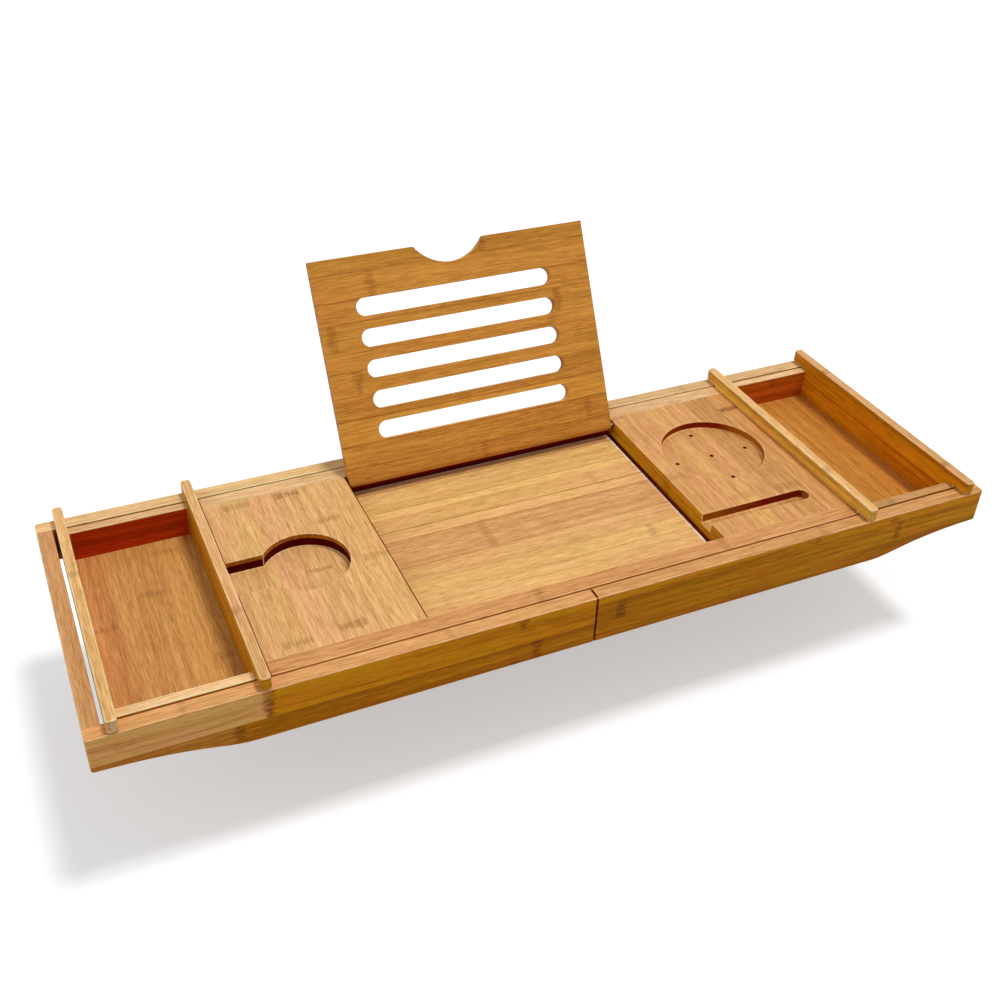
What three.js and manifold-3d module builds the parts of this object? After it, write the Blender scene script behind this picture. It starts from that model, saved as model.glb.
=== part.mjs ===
// A bamboo bath caddy: a middle part with two panels, a sunken board and a folding reading stand,
// two U-shaped frames that slide out of it to the left and right, and two lift-out trays.
// Millimetres, +X to the right, +Y to the back, +Z up. Sizes are those of the closed caddy with its
// stand raised. The finished group stands on z = 0 with the middle of its outline at the origin.

import * as THREE from 'three';
import { mergeVertices } from 'three/addons/utils/BufferGeometryUtils.js';
import Module from 'manifold-3d';

const wasm = await Module();
wasm.setup();

// Whole caddy
const caddyDepth = 234; // front face to back face
const frameLength = 350; // one sliding frame, from its end to the seam in the middle
const seamGap = 0.6; // between the two frames when they are pushed together

// Outer rails and end rails of the frames
const railHeight = 41; // deep part of an outer rail, which sets the level of all the tops
const railThickness = 11.5;
const endHeight = 28.3; // shallow end of a rail, which lies on the rim of the bath
const riseLength = 103; // from the end of a rail to its deep part
const riseFirstShares = [0.66, 0.12]; // first handle of the lower edge's curve, of length and rise
const riseLastShares = [0.78, 1]; // last handle, which runs level into the deep part

// Sliding joint between the inner rails and the frames
const slideGap = 1.5; // between an inner and an outer rail
const tongueHeight = 7.4;
const tongueLength = 47; // a tongue is left only near each end of an inner rail
const tongueInset = 3; // from the end of the inner rail to its tongue
const tongueGap = 0.3; // above and below the tongue
const tongueEndGap = 0.4; // between the tongue and the floor of its channel
const channelDepth = 5;
const channelRise = 18; // lower wall of the channel above the base
const stopWall = 10; // wood left at the seam, where the tongue stops

// Middle part
const bodyShift = 2.3; // the middle part sits a little to the right of the seam
const innerRailWidth = 13.5;
const innerRailRise = 5; // underside of an inner rail above the base
const panelWidth = 113.6;
const panelThickness = 15;
const boardDrop = 14.9; // top of the sunken board below the tops of the panels
const boardThickness = 8;
const boardSideGap = 3.1;
const boardFrontGap = 0.5;
const boardBackGap = 2;
const battenWidth = 25;
const battenHeight = 6;
const battenBearing = 15; // of a batten's width under the board; the rest closes the gap beside it

// Glass holder in the left panel: a round seat with a channel for the stem from the left edge
const glassRadius = 32.4;
const glassShift = 2.7; // from the middle of the panel towards its left edge
const glassDepth = 11;
const stemChannelWidth = 37.6;

// Soap seat and phone groove in the right panel
const soapMargin = 14; // from the seat to the sides of the panel
const soapShift = 16; // from the middle of the panel to the back
const soapDepth = 6.8;
const drainRadius = 1.75;
const drainInset = 9.8; // from the wall of the seat to the middle of an outer drain hole
const grooveWidth = 12.5;
const grooveInset = 18.6; // from the front of the panel
const grooveStop = 19.8; // wood left between the groove's round end and the right edge
const grooveDepth = 8;

// Lift-out trays
const trayWidth = 102.6;
const trayPlay = 0.25; // at each side of the right tray
const traySideGap = 2.1; // between a tray and the outer rails
const trayDrop = 28.5; // underside of a tray below the tops of the rails
const trayBoardThickness = 7.5;
const trayWallThickness = 7.5;
const trayFloorThickness = 3.5;
const earRise = 11; // the end boards stand above the rails by this
const earGap = 0.3; // under the ears, which lie on the outer rails

// Reading stand and its hinge
const standTiltDegrees = 27.7; // from upright to the back
const standThickness = 7;
const standSideGap = 2.25; // half of the play between the stand and the two panels
const standShift = -1.25; // the stand sits a little to the left in its play
const standTipGap = 1.2; // from the folded stand's tip to the front inner rail
const standRestGap = 0.3; // between the raised stand and the edge that it leans on
const slotHeight = 14.1;
const slotPitch = 24.3;
const slotSideMargin = 33; // from the ends of the slots to the sides, on average
const slotShift = -1.6; // the slots are cut a little to the left of the middle
const slotFootMargin = 33.2; // from the foot to the lowest slot
const slotTopMargin = 32.1; // least wood above the highest slot
const notchWidth = 60.6;
const notchDepth = 15.8;
const notchShift = -1.2; // and so is the notch
const pinRadius = 1.5;
const pinDrop = 3.2; // hinge line below the tops of the panels
const pinGrip = 12; // length of a pin that is pressed into the stand
const pinReach = 8; // depth of a pin's hole in a panel
const pinEndGap = 0.3;
const pinGap = 0.05; // around a pin

// Roundness of the curves
const arcSteps = 48;
const smallArcSteps = 16;
const pinSteps = 24;
const riseSteps = 12;

// Cutting bodies run past the wood by this
const cutOverrun = 1;

// Places that several pieces share
const halfDepth = caddyDepth / 2;
const railInner = halfDepth - railThickness;
const innerRailOuter = railInner - slideGap;
const innerRailInner = innerRailOuter - innerRailWidth;
const frameInner = frameLength - railThickness;
const bodyRight = frameInner - trayWidth - 2 * trayPlay;
const bodyLeft = 2 * bodyShift - bodyRight;
const recessLeft = bodyLeft + panelWidth;
const recessRight = bodyRight - panelWidth;
const boardTop = railHeight - boardDrop;
const boardBase = boardTop - boardThickness;
const trayBase = railHeight - trayDrop;
const trayHalfDepth = railInner - traySideGap;
const standTilt = THREE.MathUtils.degToRad(standTiltDegrees);
const pinHeight = railHeight - pinDrop;
const standLean = standThickness / 2 + standRestGap;
const pinY = innerRailInner - (standLean + pinDrop * Math.sin(standTilt)) / Math.cos(standTilt);
const standReach = pinY + innerRailInner - standTipGap; // hinge line to tip
const standLength = standReach + standThickness / 2;
const standLeft = recessLeft + standSideGap + standShift;
const standRight = recessRight - standSideGap + standShift;

// Materials: one function, a colour and roughness for each kind of bamboo piece
function wood(color, roughness) {
  return new THREE.MeshStandardMaterial({ color, roughness, metalness: 0 });
}

function steel() {
  return new THREE.MeshStandardMaterial({ color: 0xb8b9ba, roughness: 0.35, metalness: 1 });
}

const railColour = 0xc08b4c;
const panelColour = 0xd9a766;
const boardColour = 0xe3b672;
const trayColour = 0xc98d4b;
const standColour = 0xb87c30;
const railRoughness = 0.5;
const boardRoughness = 0.45;

// Closed geometry to a solid and back
function solid(geometry) {
  const plain = geometry.clone();
  plain.deleteAttribute('normal');
  plain.deleteAttribute('uv');
  const merged = mergeVertices(plain);
  const vertProperties = new Float32Array(merged.attributes.position.array);
  const triVerts = new Uint32Array(merged.index.array);
  return new wasm.Manifold(new wasm.Mesh({ numProp: 3, vertProperties, triVerts }));
}

function geometryOf(body) {
  const mesh = body.getMesh();
  const geometry = new THREE.BufferGeometry();
  geometry.setAttribute('position', new THREE.BufferAttribute(mesh.vertProperties, 3));
  geometry.setIndex(new THREE.BufferAttribute(mesh.triVerts, 1));
  geometry.computeVertexNormals();
  return geometry;
}

function piece(name, geometry, material) {
  const mesh = new THREE.Mesh(geometry, material);
  mesh.name = name;
  return mesh;
}

// A block between two corners
function block(low, high) {
  const size = high.map((value, axis) => value - low[axis]);
  const middle = high.map((value, axis) => (value + low[axis]) / 2);
  return new THREE.BoxGeometry(...size).translate(...middle);
}

// An outline in X and Y raised from one height to another
function prism(outline, base, top, steps) {
  const settings = { depth: top - base, bevelEnabled: false, curveSegments: steps };
  return new THREE.ExtrudeGeometry(outline, settings).translate(0, 0, base);
}

// An outline in X and Z, carried along Y from front to back
function prismAlongY(outline, front, back, steps) {
  const settings = { depth: back - front, bevelEnabled: false, curveSegments: steps };
  return new THREE.ExtrudeGeometry(outline, settings).rotateX(Math.PI / 2).translate(0, back, 0);
}

// An outline in Y and Z, carried along X from left to right
function prismAlongX(outline, left, right, steps) {
  const settings = { depth: right - left, bevelEnabled: false, curveSegments: steps };
  const turned = new THREE.ExtrudeGeometry(outline, settings).rotateY(Math.PI / 2).rotateX(Math.PI / 2);
  return turned.translate(left, 0, 0);
}

function polygon(points) {
  return new THREE.Shape(points.map(([a, b]) => new THREE.Vector2(a, b)));
}

function circle(x, y, radius) {
  return new THREE.Shape().absarc(x, y, radius, 0, 2 * Math.PI, false);
}

// A slot with two round ends, along X
function roundedSlot(left, right, middleY, height, Kind) {
  const radius = height / 2;
  const outline = new Kind();
  outline.absarc(right - radius, middleY, radius, -Math.PI / 2, Math.PI / 2, false);
  outline.absarc(left + radius, middleY, radius, Math.PI / 2, 1.5 * Math.PI, false);
  outline.closePath();
  return outline;
}

// A round hole along X, centred on the hinge line
function pinBody(left, right, radius) {
  const cylinder = new THREE.CylinderGeometry(radius, radius, right - left, pinSteps);
  return cylinder.rotateZ(Math.PI / 2).translate((left + right) / 2, 0, 0);
}

// Side view of an outer rail that ends at the left: shallow end, curved rise, deep part to the seam
function railOutline() {
  const rise = railHeight - endHeight;
  const left = -frameLength;
  const outline = new THREE.Shape();
  outline.moveTo(left, railHeight);
  outline.lineTo(left, rise);
  outline.bezierCurveTo(
    left + riseFirstShares[0] * riseLength, rise * (1 - riseFirstShares[1]),
    left + riseLastShares[0] * riseLength, rise * (1 - riseLastShares[1]),
    left + riseLength, 0,
  );
  outline.lineTo(-seamGap / 2, 0);
  outline.lineTo(-seamGap / 2, railHeight);
  outline.closePath();
  return outline;
}

// Outer rail of the left frame, at the front or at the back, with the channel for the tongue
function outerRail(isFront, channelEnd) {
  const [front, back] = isFront ? [-halfDepth, -railInner] : [railInner, halfDepth];
  const floor = railInner + channelDepth;
  const mouth = railInner - cutOverrun;
  const [cutFront, cutBack] = isFront ? [-floor, -mouth] : [mouth, floor];
  const channelTop = channelRise + tongueHeight + 2 * tongueGap;
  const channel = block([channelEnd, cutFront, channelRise], [-stopWall, cutBack, channelTop]);
  const rail = solid(prismAlongY(railOutline(), front, back, riseSteps));
  return geometryOf(rail.subtract(solid(channel)));
}

function endRail() {
  const low = [-frameLength, -railInner, railHeight - endHeight];
  return block(low, [-frameInner, railInner, railHeight]);
}

// The right frame is the left one turned half round
function frame(side) {
  const group = new THREE.Group();
  const isLeft = side === 'left';
  const bodyEnd = isLeft ? bodyLeft : -bodyRight;
  const channelEnd = bodyEnd + tongueInset - tongueEndGap;
  const frontRail = outerRail(isLeft, channelEnd);
  const backRail = outerRail(!isLeft, channelEnd);
  group.add(piece(`${side}_rail_front`, frontRail, wood(railColour, railRoughness)));
  group.add(piece(`${side}_rail_back`, backRail, wood(railColour, railRoughness)));
  group.add(piece(`${side}_end_rail`, endRail(), wood(railColour, railRoughness)));
  group.rotation.z = isLeft ? 0 : Math.PI;
  return group;
}

// Tongue on the outer face of the back inner rail, rooted inside the rail
function tongue(left) {
  const base = channelRise + tongueGap;
  const tip = railInner + channelDepth - tongueEndGap;
  const root = innerRailOuter - cutOverrun;
  return solid(block([left, root, base], [left + tongueLength, tip, base + tongueHeight]));
}

// Inner rail at the back: a bar with a tongue near each end; the front one is turned half round
function innerRail(left, right) {
  const bar = solid(block([left, innerRailInner, innerRailRise], [right, innerRailOuter, railHeight]));
  const leftTongue = tongue(left + tongueInset);
  const rightTongue = tongue(right - tongueInset - tongueLength);
  return geometryOf(bar.add(leftTongue).add(rightTongue));
}

// A panel's blank with the blind hole for the hinge pin in the face beside the recess
function panelBlank(left, right, holeLeft, holeRight) {
  const base = railHeight - panelThickness;
  const blank = solid(block([left, -innerRailInner, base], [right, innerRailInner, railHeight]));
  const hole = pinBody(holeLeft, holeRight, pinRadius + pinGap).translate(0, pinY, pinHeight);
  return blank.subtract(solid(hole));
}

function glassPanel() {
  const blank = panelBlank(bodyLeft, recessLeft, recessLeft - pinReach, recessLeft + cutOverrun);
  const middle = bodyLeft + panelWidth / 2 - glassShift;
  const floor = railHeight - glassDepth;
  const top = railHeight + cutOverrun;
  const seat = prism(circle(middle, 0, glassRadius), floor, top, arcSteps);
  const half = stemChannelWidth / 2;
  const stem = block([bodyLeft - cutOverrun, -half, floor], [middle, half, top]);
  return geometryOf(blank.subtract(solid(seat).add(solid(stem))));
}

// Five drain holes in a cross, through the floor of the soap seat
function drainHoles(middle, radius) {
  const reach = radius - drainInset;
  const places = [[0, 0], [-reach, 0], [reach, 0], [0, -reach], [0, reach]];
  const base = railHeight - panelThickness - cutOverrun;
  const top = railHeight + cutOverrun;
  return places.map(([x, y]) =>
    solid(prism(circle(middle + x, soapShift + y, drainRadius), base, top, smallArcSteps)));
}

function soapPanel() {
  const blank = panelBlank(recessRight, bodyRight, recessRight - cutOverrun, recessRight + pinReach);
  const middle = bodyRight - panelWidth / 2;
  const radius = panelWidth / 2 - soapMargin;
  const top = railHeight + cutOverrun;
  const seat = prism(circle(middle, soapShift, radius), railHeight - soapDepth, top, arcSteps);
  const grooveY = grooveInset + grooveWidth / 2 - innerRailInner;
  const start = recessRight - grooveWidth;
  const outline = roundedSlot(start, bodyRight - grooveStop, grooveY, grooveWidth, THREE.Shape);
  const groove = prism(outline, railHeight - grooveDepth, top, smallArcSteps);
  const cuts = [solid(seat), solid(groove), ...drainHoles(middle, radius)];
  return geometryOf(cuts.reduce((body, cut) => body.subtract(cut), blank));
}

function centreBoard() {
  const low = [recessLeft + boardSideGap, boardFrontGap - innerRailInner, boardBase];
  const high = [recessRight - boardSideGap, innerRailInner - boardBackGap, boardTop];
  return block(low, high);
}

// Battens between the inner rails, which carry the board
function batten(left) {
  const low = [left, -innerRailInner, boardBase - battenHeight];
  return block(low, [left + battenWidth, innerRailInner, boardBase]);
}

function middlePart() {
  const group = new THREE.Group();
  const backRail = innerRail(bodyLeft, bodyRight);
  const frontRail = innerRail(-bodyRight, -bodyLeft).rotateZ(Math.PI);
  const battenLeft = recessLeft + boardSideGap + battenBearing - battenWidth;
  const battenRight = recessRight - boardSideGap - battenBearing;
  group.add(piece('inner_rail_front', frontRail, wood(railColour, railRoughness)));
  group.add(piece('inner_rail_back', backRail, wood(railColour, railRoughness)));
  group.add(piece('glass_holder_panel', glassPanel(), wood(panelColour, boardRoughness)));
  group.add(piece('soap_and_phone_panel', soapPanel(), wood(panelColour, boardRoughness)));
  group.add(piece('centre_board', centreBoard(), wood(boardColour, boardRoughness)));
  group.add(piece('board_batten_left', batten(battenLeft), wood(railColour, railRoughness)));
  group.add(piece('board_batten_right', batten(battenRight), wood(railColour, railRoughness)));
  return group;
}

// End board of a tray: a body between the outer rails and an ear over each of them
function trayEndBoard(left) {
  const seat = railHeight + earGap;
  const top = railHeight + earRise;
  const half = [
    [trayHalfDepth, trayBase],
    [trayHalfDepth, seat],
    [halfDepth, seat],
    [halfDepth, top],
  ];
  const otherHalf = half.map(([y, z]) => [-y, z]).reverse();
  const outline = polygon([...half, ...otherHalf]);
  return prismAlongX(outline, left, left + trayBoardThickness, smallArcSteps);
}

function trayWall(left, right, isFront) {
  const inner = trayHalfDepth - trayWallThickness;
  const [front, back] = isFront ? [-trayHalfDepth, -inner] : [inner, trayHalfDepth];
  return block([left, front, trayBase], [right, back, railHeight]);
}

function trayFloor(left, right) {
  const half = trayHalfDepth - trayWallThickness;
  return block([left, -half, trayBase], [right, half, trayBase + trayFloorThickness]);
}

function tray(side, left) {
  const group = new THREE.Group();
  const right = left + trayWidth;
  const innerLeft = left + trayBoardThickness;
  const innerRight = right - trayBoardThickness;
  const pieces = {
    end_board_left: trayEndBoard(left),
    end_board_right: trayEndBoard(innerRight),
    wall_front: trayWall(innerLeft, innerRight, true),
    wall_back: trayWall(innerLeft, innerRight, false),
    floor: trayFloor(innerLeft, innerRight),
  };
  for (const [name, geometry] of Object.entries(pieces)) {
    group.add(piece(`${side}_tray_${name}`, geometry, wood(trayColour, boardRoughness)));
  }
  return group;
}

// Front view of the stand around the hinge line: a rectangle with the finger notch and the slots
function standFront() {
  const foot = -standThickness / 2;
  const notchMiddle = (standLeft + standRight) / 2 + notchShift;
  const notchRadius = (notchWidth ** 2 / 4 + notchDepth ** 2) / (2 * notchDepth);
  const notchCentre = standReach - notchDepth + notchRadius;
  const halfAngle = Math.asin(notchWidth / 2 / notchRadius);
  const down = 1.5 * Math.PI;
  const outline = new THREE.Shape();
  outline.moveTo(standLeft, foot);
  outline.lineTo(standRight, foot);
  outline.lineTo(standRight, standReach);
  outline.absarc(notchMiddle, notchCentre, notchRadius, down + halfAngle, down - halfAngle, true);
  outline.lineTo(standLeft, standReach);
  outline.closePath();
  const room = standLength - slotFootMargin - slotTopMargin - slotHeight;
  const lowest = foot + slotFootMargin + slotHeight / 2;
  for (let along = 0; along <= room; along += slotPitch) {
    const left = standLeft + slotSideMargin + slotShift;
    const right = standRight - slotSideMargin + slotShift;
    outline.holes.push(roundedSlot(left, right, lowest + along, slotHeight, THREE.Path));
  }
  return outline;
}

// Side view of the stand: straight faces and a round foot about the hinge line
function standSide() {
  const half = standThickness / 2;
  const outline = new THREE.Shape();
  outline.absarc(0, 0, half, Math.PI, 2 * Math.PI, false);
  outline.lineTo(half, standReach);
  outline.lineTo(-half, standReach);
  outline.closePath();
  return outline;
}

// The stand stands upright on the hinge line here: X across, Y through its thickness, Z up
function standPanel() {
  const half = standThickness / 2 + cutOverrun;
  const face = solid(prismAlongY(standFront(), -half, half, smallArcSteps));
  const side = solid(prismAlongX(standSide(), standLeft - cutOverrun, standRight + cutOverrun, smallArcSteps));
  const leftHole = pinBody(standLeft - cutOverrun, standLeft + pinGrip, pinRadius + pinGap);
  const rightHole = pinBody(standRight - pinGrip, standRight + cutOverrun, pinRadius + pinGap);
  return geometryOf(face.intersect(side).subtract(solid(leftHole)).subtract(solid(rightHole)));
}

function readingStand() {
  const group = new THREE.Group();
  const reach = pinReach - pinEndGap;
  const leftPin = pinBody(recessLeft - reach, standLeft + pinGrip - pinEndGap, pinRadius);
  const rightPin = pinBody(standRight - pinGrip + pinEndGap, recessRight + reach, pinRadius);
  group.add(piece('reading_stand_panel', standPanel(), wood(standColour, boardRoughness)));
  group.add(piece('hinge_pin_left', leftPin, steel()));
  group.add(piece('hinge_pin_right', rightPin, steel()));
  group.position.set(0, pinY, pinHeight);
  group.rotation.x = -standTilt;
  return group;
}

const leftSpace = bodyLeft + frameInner;
const leftTrayLeft = -frameInner + (leftSpace - trayWidth) / 2;
const rightTrayLeft = bodyRight + trayPlay;
const backReach = pinY + standReach * Math.sin(standTilt) + (standThickness / 2) * Math.cos(standTilt);

const caddy = new THREE.Group();
caddy.add(middlePart());
caddy.add(frame('left'));
caddy.add(frame('right'));
caddy.add(tray('left', leftTrayLeft));
caddy.add(tray('right', rightTrayLeft));
caddy.add(readingStand());
caddy.position.y = (halfDepth - backReach) / 2;

export default caddy;
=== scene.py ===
import math
import random
from collections import namedtuple

import bmesh
import bpy
from mathutils import Matrix, Vector


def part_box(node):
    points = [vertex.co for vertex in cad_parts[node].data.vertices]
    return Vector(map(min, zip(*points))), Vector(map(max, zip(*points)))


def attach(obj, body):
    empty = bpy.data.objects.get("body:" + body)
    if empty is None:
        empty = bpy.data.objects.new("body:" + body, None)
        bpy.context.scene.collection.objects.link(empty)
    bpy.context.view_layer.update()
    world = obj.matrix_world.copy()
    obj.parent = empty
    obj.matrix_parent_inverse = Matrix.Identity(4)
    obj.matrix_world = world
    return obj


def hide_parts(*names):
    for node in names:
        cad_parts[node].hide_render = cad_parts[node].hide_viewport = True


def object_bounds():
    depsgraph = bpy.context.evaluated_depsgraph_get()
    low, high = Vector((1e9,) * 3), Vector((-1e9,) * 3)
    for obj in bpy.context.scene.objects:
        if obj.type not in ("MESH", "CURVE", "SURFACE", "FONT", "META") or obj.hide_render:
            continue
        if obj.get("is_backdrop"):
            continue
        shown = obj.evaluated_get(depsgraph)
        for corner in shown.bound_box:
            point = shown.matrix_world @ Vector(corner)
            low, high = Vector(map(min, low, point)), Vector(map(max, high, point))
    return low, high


# A bamboo bath caddy in metres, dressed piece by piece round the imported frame.

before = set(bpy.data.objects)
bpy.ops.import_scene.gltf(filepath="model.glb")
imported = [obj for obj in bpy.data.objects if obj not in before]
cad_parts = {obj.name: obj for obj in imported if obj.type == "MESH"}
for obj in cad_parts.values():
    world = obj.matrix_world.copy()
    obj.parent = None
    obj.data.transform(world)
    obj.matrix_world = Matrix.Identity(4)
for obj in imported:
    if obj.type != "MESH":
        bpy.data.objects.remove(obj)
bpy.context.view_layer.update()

MM = 0.001
NEAR = 0.02 * MM

# Easing of the wood, as sanding leaves it, and how edges and faces are told apart
EASE = 0.8 * MM
TRAY_EASE = 1.1 * MM
# Width of the painted highlight along the centre board's right and back edges
HIGHLIGHT_RIM = 2.1 * MM
JOINT_EASE = 0.18 * MM
EASE_STEPS = 3
SHARP = math.radians(40)
SMOOTH = math.radians(35)
FACING = 0.5
CORNER_ROUND = 2.4 * MM
CORNER_STEPS = 5
EAR_ROUND = 2.2 * MM
EAR_STEPS = 4
SEAM_ROUND = 0.6 * MM
RECESS_ROUND = 1.1 * MM

# Sliding frames
RISE_LENGTH = 103 * MM
RISE_STEPS = 24
RISE_HANDLES = ((0.66, 0.12), (0.78, 1.0))
SLIDE_GAP = 1.5 * MM
CHANNEL_BASE = 18 * MM
CHANNEL_HEIGHT = 8 * MM
CHANNEL_DEPTH = 5 * MM
CHANNEL_GAP = 0.4 * MM
STOP_WALL = 10 * MM
TONGUE_INSET = 3 * MM
TONGUE_LENGTH = 47 * MM
TONGUE_GAP = 0.3 * MM
EAR_GAP = 0.3 * MM

# Seats and grooves in the panels
GLASS_RADIUS = 32.4 * MM
GLASS_SHIFT = 2.7 * MM
GLASS_DEPTH = 11 * MM
STEM_WIDTH = 37.6 * MM
TOP_PLY = 4 * MM
SEAT_CLEAR = 10 * MM
SOAP_MARGIN = 14 * MM
SOAP_SHIFT = 16 * MM
SOAP_DEPTH = 6.8 * MM
DRAIN_RADIUS = 1.75 * MM
DRAIN_INSET = 9.8 * MM
GROOVE_WIDTH = 12.5 * MM
GROOVE_INSET = 18.6 * MM
GROOVE_STOP = 19.8 * MM
GROOVE_DEPTH = 8 * MM

# Reading stand
STAND_TILT = math.radians(27.7)
STAND_THICKNESS = 7 * MM
SLOT_HEIGHT = 14.1 * MM
SLOT_PITCH = 24.3 * MM
SLOT_COUNT = 5
SLOT_SIDE_MARGIN = 33 * MM
SLOT_SHIFT = -1.6 * MM
SLOT_FOOT_MARGIN = 33.2 * MM
NOTCH_WIDTH = 60.6 * MM
NOTCH_DEPTH = 15.8 * MM
NOTCH_SHIFT = -1.2 * MM
PIN_HOLE_GAP = 0.05 * MM
PIN_CHAMFER = 0.3 * MM
PIN_CHAMFER_STEPS = 2
FOOT_STEPS = 10
STAND_EASE = 0.6 * MM

# Roundness and overrun of the cutters
ROUND_STEPS = 96
HOLE_STEPS = 24
PIN_STEPS = 48
SLOT_STEPS = 16
OVERRUN = 2 * MM

# Material slots of a wooden piece; the routed slot carries painted shade
FACE, SIDE, EDGE, SHADED_ROUTED = range(4)


def box(node):
    """The low and high corners of a CAD node."""
    low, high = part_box(node)
    return low.copy(), high.copy()


def alone(piece):
    """Selects one object and nothing else."""
    bpy.ops.object.select_all(action="DESELECT")
    piece.select_set(True)
    bpy.context.view_layer.objects.active = piece


def settle(piece):
    """Puts the piece's place into its mesh, so that its object sits at the origin."""
    alone(piece)
    bpy.ops.object.transform_apply(location=True, rotation=True, scale=True)


def finish_faces(piece, axis, along, otherwise):
    """Gives one finish to the faces that look along an axis, either way, and another to the rest."""
    for face in piece.data.polygons:
        face.material_index = along if abs(face.normal[axis]) > FACING else otherwise


def blank(name):
    """Names a new piece, settles it and gives it an empty slot for each finish."""
    piece = bpy.context.active_object
    piece.name = name
    settle(piece)
    for finish in (FACE, SIDE, EDGE, SHADED_ROUTED):
        piece.data.materials.append(None)
    return piece


def block(name, low, high):
    """A squared blank between two corners. Faces that look up or down show face grain."""
    bpy.ops.object.select_all(action="DESELECT")
    bpy.ops.mesh.primitive_cube_add(size=1, location=(low + high) / 2, scale=high - low)
    piece = blank(name)
    finish_faces(piece, 2, FACE, SIDE)
    return piece


def rod(name, middle, radius, length, axis, steps):
    """A round bar along one axis; as a cutter it leaves routed walls in painted shade."""
    turn = {"X": (0, math.pi / 2, 0), "Z": (0, 0, 0)}[axis]
    bpy.ops.object.select_all(action="DESELECT")
    bpy.ops.mesh.primitive_cylinder_add(
        vertices=steps, radius=radius, depth=length, location=middle, rotation=turn
    )
    piece = blank(name)
    for face in piece.data.polygons:
        face.material_index = FACE if len(face.vertices) > 4 else SHADED_ROUTED
    return piece


def edit(piece, kind):
    """Opens a piece in edit mode for work on its faces, edges or vertices, with nothing selected."""
    alone(piece)
    bpy.ops.object.mode_set(mode="EDIT")
    bpy.ops.mesh.select_mode(type=kind)
    bpy.ops.mesh.select_all(action="DESELECT")


def leave():
    """Goes back from edit mode."""
    bpy.ops.object.mode_set(mode="OBJECT")


def select(piece, group, inside):
    """In edit mode, selects the verts, edges or faces that have all their corners at a place."""
    mesh = bmesh.from_edit_mesh(piece.data)
    for element in getattr(mesh, group):
        corners = [element] if group == "verts" else element.verts
        if all(inside(corner.co) for corner in corners):
            element.select_set(True)
    bmesh.update_edit_mesh(piece.data)


def slice_at(piece, axis, places):
    """Scores the whole piece across at each place along an axis."""
    normal = Vector([axis == name for name in "XYZ"])
    for place in places:
        edit(piece, "FACE")
        bpy.ops.mesh.select_all(action="SELECT")
        bpy.ops.mesh.bisect(plane_co=normal * place, plane_no=normal)
        leave()


def cut(piece, *cutters):
    """Takes the cutters out of the piece and throws them away."""
    for cutter in cutters:
        alone(piece)
        modifier = piece.modifiers.new("cut", "BOOLEAN")
        modifier.object = cutter
        modifier.operation = "DIFFERENCE"
        modifier.solver = "EXACT"
        bpy.ops.object.modifier_apply(modifier=modifier.name)
        bpy.data.objects.remove(cutter, do_unlink=True)


def bevel(width, steps, finish):
    """In edit mode, rounds over the selected edges and gives the new faces a finish."""
    bpy.ops.mesh.bevel(
        offset=width, segments=steps, affect="EDGES", clamp_overlap=True, material=finish
    )
    leave()


def round_edges(piece, inside, width, steps, finish=EDGE):
    """Rounds over the edges at a place."""
    edit(piece, "EDGE")
    select(piece, "edges", inside)
    bevel(width, steps, finish)


def round_uprights(piece, width, steps, finish, inside=lambda co: True):
    """Rounds over the upright edges at a place."""
    edit(piece, "EDGE")
    mesh = bmesh.from_edit_mesh(piece.data)
    for edge in mesh.edges:
        first, last = (corner.co for corner in edge.verts)
        if abs(first.z - last.z) > NEAR and inside(first) and inside(last):
            edge.select_set(True)
    bmesh.update_edit_mesh(piece.data)
    bevel(width, steps, finish)


def ease(piece, width=EASE, glued=None):
    """Eases every sharp edge as sanding does; a glued joint between flush pieces only slightly."""
    for amount in (JOINT_EASE, width) if glued else (width,):
        edit(piece, "EDGE")
        bpy.ops.mesh.edges_select_sharp(sharpness=SHARP)
        mesh = bmesh.from_edit_mesh(piece.data)
        for edge in mesh.edges:
            if edge.select and glued:
                at_joint = glued(edge)
                edge.select_set(at_joint == (amount == JOINT_EASE))
        bmesh.update_edit_mesh(piece.data)
        bevel(amount, EASE_STEPS, EDGE)


# Materials

def linear(code):
    """An sRGB hex colour as linear light."""
    values = [int(code[i : i + 2], 16) / 255 for i in (1, 3, 5)]
    light = [v / 12.92 if v <= 0.04045 else ((v + 0.055) / 1.055) ** 2.4 for v in values]
    return (*light, 1.0)


def add(tree, kind, links=None, **settings):
    """Adds a node with its settings, and sets or links its inputs by name or number."""
    node = tree.nodes.new(kind)
    for key, value in settings.items():
        setattr(node, key, value)
    for key, value in (links or {}).items():
        if isinstance(value, bpy.types.Node):
            value = value.outputs[0]
        if isinstance(value, bpy.types.NodeSocket):
            tree.links.new(value, node.inputs[key])
        else:
            node.inputs[key].default_value = value
    return node


def new_material(name):
    """An empty material and its node tree."""
    material = bpy.data.materials.new(name)
    material.use_nodes = True
    material.node_tree.nodes.clear()
    return material, material.node_tree


FIBRE_WIDTH = 0.9 * MM  # true fibres are 0.3 mm; drawn coarser so that they show
FIBRE_LENGTH = 16 * MM
PORE_WIDTH = 0.7 * MM  # likewise
PORE_LENGTH = 9 * MM
BAND_WIDTH = 4.5 * MM
BAND_LENGTH = 150 * MM
CLOUD_WIDTH = 15 * MM
CLOUD_LENGTH = 42 * MM
KNUCKLE_HALF = 3.2 * MM
KNUCKLE_FADE = 1.2 * MM
KNUCKLE_RAG = 3.6 * MM
KNUCKLE_BOW = 3 * MM
KNUCKLE_PITCH = 12 * MM
PALE_FADE = 3 * MM
DASH_WIDTH = 1.0 * MM
SEAM_WIDTH = 1.1 * MM
NO_KNUCKLE = 9.0  # a share of the length far past its end
MOST_KNUCKLES = 3
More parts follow.
